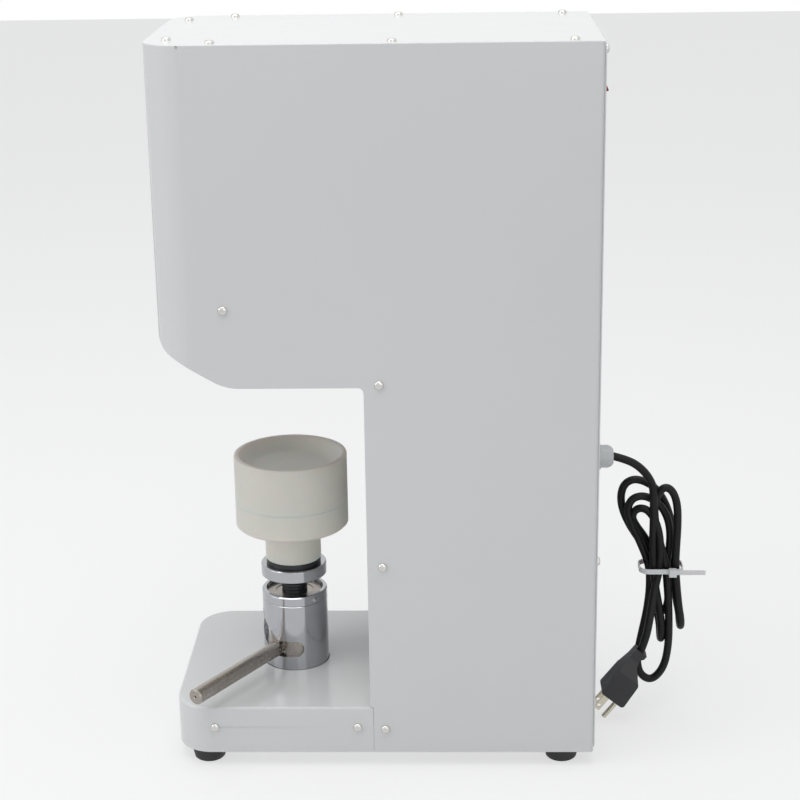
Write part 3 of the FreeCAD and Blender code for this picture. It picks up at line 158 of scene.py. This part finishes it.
def rings(tree, scale, axis="Z", distort=0.6):
    """Fine turning marks: bands across the given axis."""
    wave = tree.nodes.new("ShaderNodeTexWave")
    wave.wave_type = "BANDS"
    wave.bands_direction = axis
    wave.inputs["Scale"].default_value = scale
    wave.inputs["Distortion"].default_value = distort
    wave.inputs["Detail"].default_value = 2.0
    tree.links.new(stretch(tree, (1, 1, 1)), wave.inputs["Vector"])
    return wave.outputs["Fac"]


mark_depth = 0.00003
brush_scale = 90.0
brush_strength = 0.35


def finish(name, colour, tint=0.05, blotch=14.0, rough=(0.3, 0.4), grain=700.0, depth=0.00004,
           strength=0.4, metal=0.0, turning=None, brushed=None, **shader):
    """A surface whose colour, roughness and relief all vary a little, as on a made thing."""
    made, tree, bsdf = tree_of(name)
    darker = [c * (1 - tint) for c in colour]
    lighter = [min(1.0, c * (1 + tint)) for c in colour]
    links = tree.links
    links.new(two_tone(tree, noise(tree, blotch), darker, lighter), bsdf.inputs["Base Color"])
    links.new(spread(tree, noise(tree, blotch * 6, 6.0), *rough), bsdf.inputs["Roughness"])
    relief = bump(tree, noise(tree, grain, 3.0), strength, depth)
    if turning is not None:
        relief = bump(tree, rings(tree, turning[0], turning[1]), turning[2], mark_depth, relief)
    if brushed is not None:
        marks = noise(tree, brush_scale, 5.0, 0.7, brushed)
        relief = bump(tree, marks, brush_strength, mark_depth, relief)
    links.new(relief, bsdf.inputs["Normal"])
    bsdf.inputs["Metallic"].default_value = metal
    for socket, value in shader.items():
        bsdf.inputs[socket.replace("_", " ")].default_value = value
    return made


slot_finish = {
    "white_powder_coat": finish("white_powder_coat", (0.66, 0.665, 0.66), tint=0.012, blotch=3.0,
                                rough=(0.15, 0.19), grain=520.0, depth=0.00003, strength=0.22),
    "steel_frame": finish("zinc_plated_steel", (0.52, 0.53, 0.54), tint=0.12, blotch=40.0,
                          rough=(0.28, 0.45), metal=1.0),
    "chrome": finish("polished_chrome", (0.42, 0.43, 0.45), tint=0.03, rough=(0.08, 0.14), grain=260.0,
                     depth=0.00001, strength=0.15, metal=1.0),
    "stainless": finish("turned_stainless", (0.36, 0.33, 0.30), tint=0.04, rough=(0.22, 0.33), metal=1.0,
                        brushed=(1.0, 0.06, 8.0)),
    "black_oxide": finish("black_oxide_steel", (0.045, 0.046, 0.05), tint=0.2, rough=(0.3, 0.45),
                          metal=0.7),
    "bright_screws": finish("nickel_plate", (0.62, 0.61, 0.59), tint=0.05, rough=(0.16, 0.26), metal=1.0),
    "white_nylon": finish("natural_nylon", (0.68, 0.665, 0.60), tint=0.03, blotch=22.0,
                          rough=(0.38, 0.48), grain=420.0, depth=0.00003, turning=(230.0, "Z", 0.12),
                          Subsurface_Weight=0.35, Subsurface_Scale=0.012),
    "black_rubber": finish("black_rubber", (0.022, 0.022, 0.023), tint=0.25, rough=(0.55, 0.75),
                           grain=900.0, depth=0.0001),
    "cord_black": finish("black_pvc", (0.006, 0.006, 0.0065), tint=0.2, rough=(0.42, 0.5), grain=800.0,
                         Specular_IOR_Level=0.25),
    "gland_grey": finish("grey_nylon", (0.58, 0.60, 0.60), tint=0.03, rough=(0.4, 0.5), grain=700.0),
    "black_plastic": finish("black_plastic", (0.02, 0.02, 0.022), tint=0.2, rough=(0.35, 0.5),
                            grain=1200.0),
    "red_plastic": finish("dark_red_plastic", (0.24, 0.012, 0.012), tint=0.1, rough=(0.22, 0.3)),
    "green_plastic": finish("green_plastic", (0.02, 0.25, 0.06), tint=0.08, rough=(0.2, 0.3)),
    "tie_white": finish("white_tie_nylon", (0.74, 0.75, 0.75), tint=0.02, rough=(0.35, 0.45),
                        Subsurface_Weight=0.2, Subsurface_Scale=0.004),
    "belt_rubber": finish("belt_rubber", (0.03, 0.03, 0.03), tint=0.2, rough=(0.6, 0.8), grain=900.0,
                          depth=0.0001),
    "motor_grey": finish("cast_aluminium", (0.42, 0.43, 0.45), tint=0.1, rough=(0.4, 0.6), metal=0.9,
                         grain=500.0, depth=0.0001),
    "bronze": finish("bearing_bronze", (0.5, 0.34, 0.16), tint=0.1, rough=(0.25, 0.4), metal=1.0),
    "brass_pins": finish("plated_brass", (0.62, 0.58, 0.48), tint=0.06, rough=(0.18, 0.28), metal=1.0),
}
fine_edge = 0.0002
edge_width = {"white_powder_coat": 0.0006, "black_rubber": 0.0008, "chrome": 0.0003, "stainless": 0.0003}


def dress_cad_nodes():
    """Every CAD node gets its slot's finish, smooth curves and slightly rounded edges.

    The top cover keeps its own normals and gets no bevel, which leaves dark slits in its flat faces.
    """
    for entry in frame["record"]["subparts"]:
        node = frame["nodes"][entry["node"]]
        slot = entry["material_slot"]
        node.data.materials.clear()
        node.data.materials.append(slot_finish[slot])
        if entry["node"] == "top_cover":
            continue
        if "custom_normal" in node.data.attributes:
            node.data.attributes.remove(node.data.attributes["custom_normal"])
        node.data.polygons.foreach_set("use_smooth", [True] * len(node.data.polygons))
        round_edges(node, edge_width.get(slot, fine_edge))


dress_cad_nodes()


# ---------------------------------------------------------------- power cord
cord_radius = 3.75 * MM
lead_points = [(0, 211.8, 260.8), (0, 225.4, 257.2), (-0.5, 237.2, 249.6), (-1.5, 246.0, 238.7),
               (-3.0, 251.2, 225.7)]
tail_points = [(-2.0, 254.0, 129.0), (5.0, 250.8, 113.0), (11.0, 247.8, 96.5), (14.0, 244.4, 81.5)]
plug_neck_end = (14.0, 240.1, 69.3)
waist_height = 146.0
front, middle, rear = -5.0, -13.5, -22.0

# each turn goes down through the tie, round its foot, up through the tie and round its top
cord_turns = [
    {"down": (front, 251.0),
     "foot": [(front, 260.5, 98), (front + 0.5, 261.5, 82), (-9.0, 261.8, 71.5), (-18.0, 261.8, 71.5),
              (rear + 0.5, 261.5, 82), (rear, 258.5, 98)],
     "up": (rear, 249.5),
     "top": [(rear, 243, 165), (rear, 229, 186), (rear, 221.2, 207), (-21, 223, 224), (-20.5, 232, 231),
             (-20.5, 243, 229), (-21, 255, 221), (rear, 265, 204), (rear, 271, 183), (rear, 272.5, 164)]},
    {"down": (rear, 272.0),
     "foot": [(rear, 276.5, 108), (rear + 0.5, 279.5, 95), (-17.5, 280.2, 84.5), (-9.5, 280.2, 84.5),
              (front + 0.5, 279.5, 95), (front, 277, 108)],
     "up": (front, 272.8),
     "top": [(front, 273, 166), (front - 1, 274, 188), (-7.5, 273.5, 209), (-8.5, 269.5, 222),
             (-9, 262.5, 227.5), (-9.5, 255.5, 222), (-10, 251.8, 208), (-9.5, 253.5, 190),
             (-8, 259, 168)]},
    {"down": (front, 265.2),
     "foot": [(front, 266.8, 122), (front, 268.3, 95), (front, 268.8, 68), (front, 265, 44),
              (front, 253.5, 30), (-5.5, 242, 36.5), (-7, 238.8, 52), (-8.5, 242, 72), (-11, 247.5, 98),
              (middle, 250.5, 122)],
     "up": (middle, 249.5),
     "top": [(middle, 241, 168), (middle, 231.5, 188), (middle, 226.8, 202), (middle, 230.5, 213),
             (middle, 239.5, 217), (middle, 250, 214), (-14, 261, 204), (-14.5, 267.5, 188),
             (middle, 268.5, 167)]},
    {"down": (middle, 264.8),
     "foot": [(middle, 267, 124), (-14.5, 268.5, 108), (-17, 265, 97), (-20, 258, 97),
              (rear, 255.5, 108), (rear, 256, 126)],
     "up": (rear, 257.0),
     "top": [(-20, 247, 170), (-17, 235.5, 186), (-15, 231.5, 196), (-12.5, 236, 204.5),
             (-9.5, 244, 205.5), (-6, 251, 199), (-3.5, 256.5, 185), (-3.5, 258.5, 166)]},
]
last_pass = (-4.5, 258.0)


def folded_cord():
    """Control points of the whole cord, from the gland through the hank's turns to the plug."""
    points = list(lead_points)
    for turn in cord_turns:
        points.append((*turn["down"], waist_height))
        points += turn["foot"]
        points.append((*turn["up"], waist_height))
        points += turn["top"]
    points.append((*last_pass, waist_height))
    points += tail_points
    points.append(plug_neck_end)
    return [machine(*p) for p in points]


def build_cord():
    data = bpy.data.curves.new("power_cord", "CURVE")
    data.dimensions = "3D"
    points = folded_cord()
    spline = data.splines.new("NURBS")
    spline.points.add(len(points) - 1)
    for slot, point in zip(spline.points, points):
        slot.co = (*point, 1)
    spline.order_u = 3
    spline.use_endpoint_u = True
    spline.resolution_u = 8
    data.bevel_depth = cord_radius
    data.bevel_resolution = 5
    data.use_fill_caps = True
    data.materials.append(slot_finish["cord_black"])
    piece = bpy.data.objects.new("power_cord", data)
    bpy.context.scene.collection.objects.link(piece)
    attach(piece, "machine")
    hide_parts("power_cord_lead", "power_cord_hank", "power_cord_tail")
    return piece


def centreline(curve):
    """Points of a curve's own line, from a copy with no bevel."""
    plain = curve.copy()
    plain.data = curve.data.copy()
    plain.data.bevel_depth = 0
    bpy.context.scene.collection.objects.link(plain)
    mesh = bpy.data.meshes.new_from_object(plain.evaluated_get(bpy.context.evaluated_depsgraph_get()))
    points = [v.co.copy() for v in mesh.vertices]
    bpy.data.objects.remove(plain)
    return points


cord = build_cord()
line = centreline(cord)
cord_length = sum((b - a).length for a, b in zip(line, line[1:]))
print("cord length %.3f m" % cord_length)


# ---------------------------------------------------------------- studio
floor_half = 6.0
floor_glow = 0.62
room_strength = 0.42


def seen_directly(tree):
    """1 on the rays that should meet plain white: from the camera, mirrored or passed through."""
    rays = tree.nodes.new("ShaderNodeLightPath")
    total = rays.outputs["Is Camera Ray"]
    for name in ("Is Glossy Ray", "Is Transmission Ray"):
        add = tree.nodes.new("ShaderNodeMath")
        add.operation = "ADD"
        add.use_clamp = True
        tree.links.new(total, add.inputs[0])
        tree.links.new(rays.outputs[name], add.inputs[1])
        total = add.outputs[0]
    return total


def build_floor():
    """Pale matt floor that shows partly as plain white and still takes the machine's shadow."""
    bm = bmesh.new()
    bmesh.ops.create_grid(bm, x_segments=1, y_segments=1, size=floor_half)
    mesh = bpy.data.meshes.new("studio_floor")
    bm.normal_update()
    bm.to_mesh(mesh)
    bm.free()
    floor = bpy.data.objects.new("studio_floor", mesh)
    bpy.context.scene.collection.objects.link(floor)
    made = bpy.data.materials.new("studio_floor")
    made.use_nodes = True
    tree = made.node_tree
    bsdf = tree.nodes["Principled BSDF"]
    bsdf.inputs["Base Color"].default_value = (0.82, 0.82, 0.82, 1)
    bsdf.inputs["Roughness"].default_value = 0.6
    glow = tree.nodes.new("ShaderNodeEmission")
    glow.inputs["Color"].default_value = (1, 1, 1, 1)
    mix = tree.nodes.new("ShaderNodeMixShader")
    share = tree.nodes.new("ShaderNodeMath")
    share.operation = "MULTIPLY"
    share.inputs[1].default_value = floor_glow
    tree.links.new(seen_directly(tree), share.inputs[0])
    tree.links.new(share.outputs[0], mix.inputs["Fac"])
    tree.links.new(bsdf.outputs["BSDF"], mix.inputs[1])
    tree.links.new(glow.outputs["Emission"], mix.inputs[2])
    tree.links.new(mix.outputs["Shader"], tree.nodes["Material Output"].inputs["Surface"])
    floor.data.materials.append(made)


def build_world():
    """White where a ray sees it directly, and a dimmer cool grey as light on the machine."""
    world = bpy.data.worlds.new("studio")
    bpy.context.scene.world = world
    world.use_nodes = True
    tree = world.node_tree
    tree.nodes.clear()
    output = tree.nodes.new("ShaderNodeOutputWorld")
    seen = tree.nodes.new("ShaderNodeBackground")
    seen.inputs["Color"].default_value = (1, 1, 1, 1)
    room = tree.nodes.new("ShaderNodeBackground")
    room.inputs["Color"].default_value = (0.93, 0.95, 1, 1)
    room.inputs["Strength"].default_value = room_strength
    mix = tree.nodes.new("ShaderNodeMixShader")
    tree.links.new(seen_directly(tree), mix.inputs["Fac"])
    tree.links.new(room.outputs[0], mix.inputs[1])
    tree.links.new(seen.outputs[0], mix.inputs[2])
    tree.links.new(mix.outputs[0], output.inputs["Surface"])


def area_light(name, place, target, width, height, power):
    """Rectangular lamp at place, aimed at target, with its power in watts."""
    data = bpy.data.lights.new(name, "AREA")
    data.shape = "RECTANGLE"
    data.size = width
    data.size_y = height
    data.energy = power
    lamp = bpy.data.objects.new(name, data)
    bpy.context.scene.collection.objects.link(lamp)
    lamp.location = place
    lamp.rotation_mode = "QUATERNION"
    lamp.rotation_quaternion = (Vector(target) - Vector(place)).to_track_quat("-Z", "Y")


build_floor()
build_world()
area_light("overhead_softbox", (0.3, -0.2, 2.4), (0, 0, 0.3), 2.2, 2.2, 34)
area_light("front_softbox", (0.9, -2.3, 1.3), (0, 0, 0.3), 1.6, 1.4, 14)
area_light("camera_side_fill", (2.6, 1.0, 1.0), (0, 0, 0.25), 1.6, 1.4, 7)
